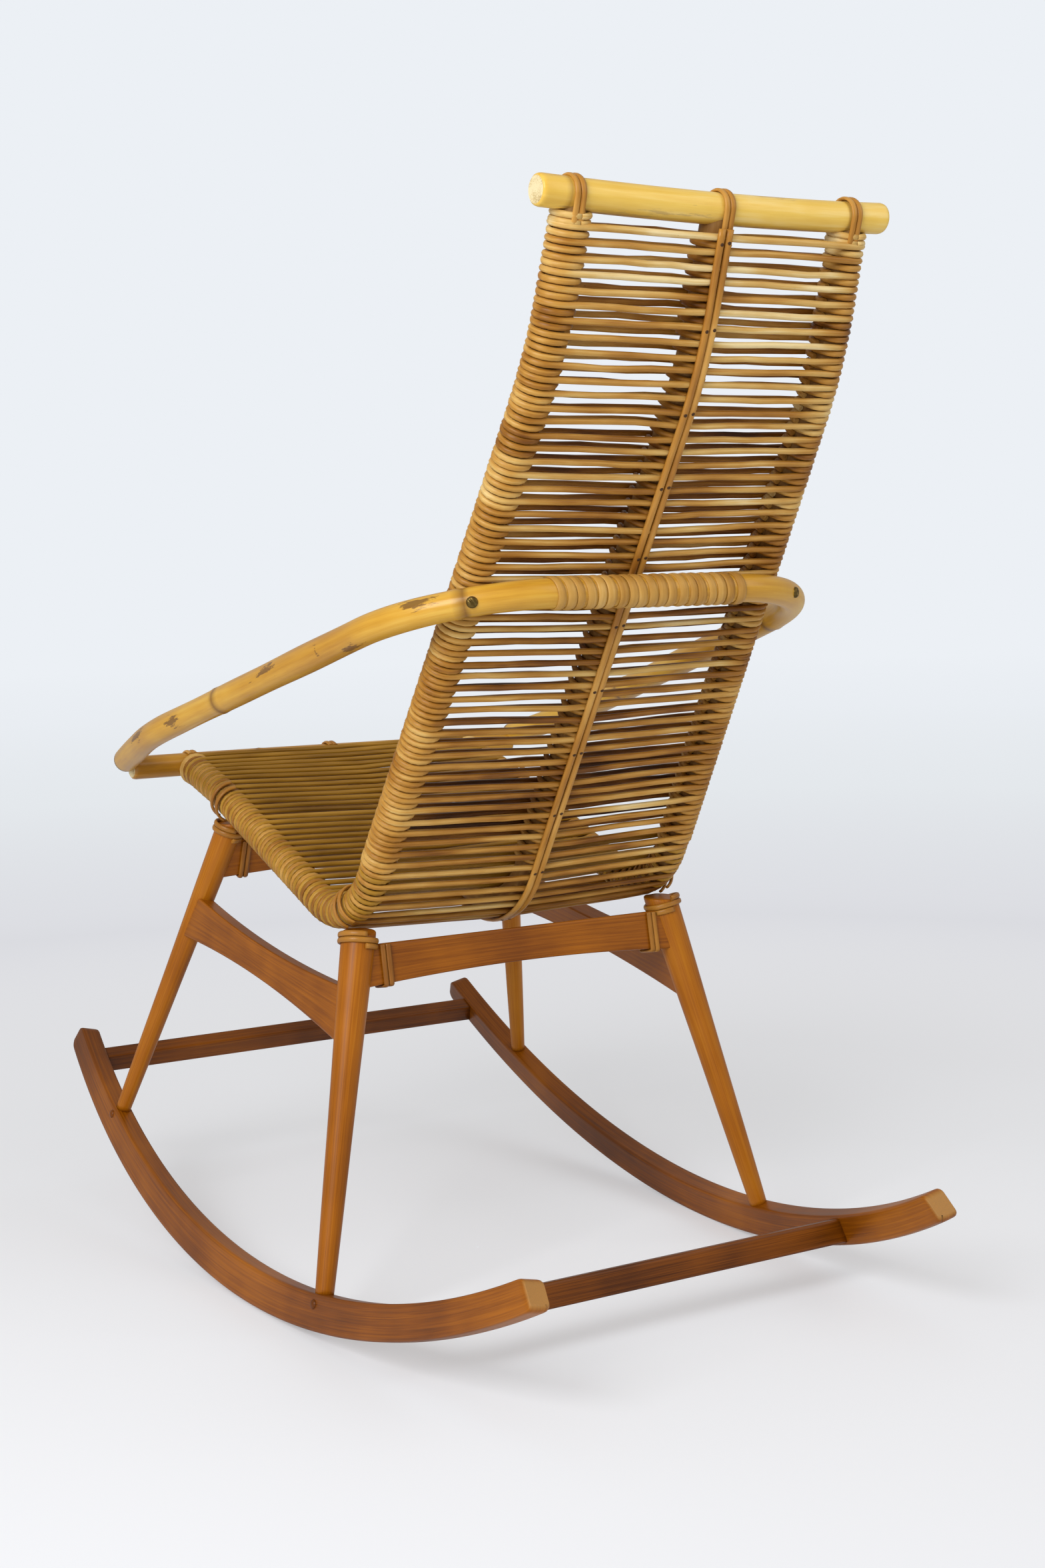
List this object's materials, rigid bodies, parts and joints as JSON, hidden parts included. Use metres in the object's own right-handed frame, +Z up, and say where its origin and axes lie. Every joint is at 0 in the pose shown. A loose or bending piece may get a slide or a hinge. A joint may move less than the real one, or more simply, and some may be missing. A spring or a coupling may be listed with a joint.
{
  "type": "rattan rocking chair",
  "caption": "High-backed rocking chair with a wound reed seat and back on bent poles, a sloping arm hoop, and a splayed beech base on curved rockers.",
  "frame": {"origin": "centre of the bounding box on the floor, chair at rest on its rockers", "axes": "+Z up, +X to the sitter's left, the sitter faces -Y, +Y is the back of the chair"},
  "size_m": [0.5702, 0.9746, 1.034],
  "materials": {
    "stained_beech": "satin",
    "pale_cane_pole": "gloss",
    "rail_pole": "satin",
    "reed": "satin",
    "cane_binding": "satin",
    "brass": "satin"
  },
  "bodies": {
    "root": {"arm_hoop": "pale_cane_pole", "back_reeds_front": "reed", "back_reeds_rear": "reed", "back_strip_left": "cane_binding", "back_strip_right": "cane_binding", "back_wrap_left": "reed", "back_wrap_right": "reed", "centre_rail": "rail_pole", "front_apron": "stained_beech", "front_binding_left": "cane_binding", "front_binding_right": "cane_binding", "front_cross_pole": "pale_cane_pole", "front_leg_left": "stained_beech", "front_leg_right": "stained_beech", "front_pole_ties": "cane_binding", "hoop_screws": "brass", "hoop_winding": "cane_binding", "rear_apron": "stained_beech", "rear_binding_left": "cane_binding", "rear_binding_right": "cane_binding", "rear_leg_left": "stained_beech", "rear_leg_right": "stained_beech", "rocker_front_stretcher": "stained_beech", "rocker_left": "stained_beech", "rocker_pegs": "stained_beech", "rocker_rear_stretcher": "stained_beech", "rocker_right": "stained_beech", "seat_reeds_top": "reed", "seat_reeds_under": "reed", "seat_wrap_left": "reed", "seat_wrap_right": "reed", "side_rail_left": "rail_pole", "side_rail_right": "rail_pole", "side_stretcher_left": "stained_beech", "side_stretcher_right": "stained_beech", "top_rail": "pale_cane_pole", "top_rail_ties": "cane_binding"}
  },
  "joints": []
}
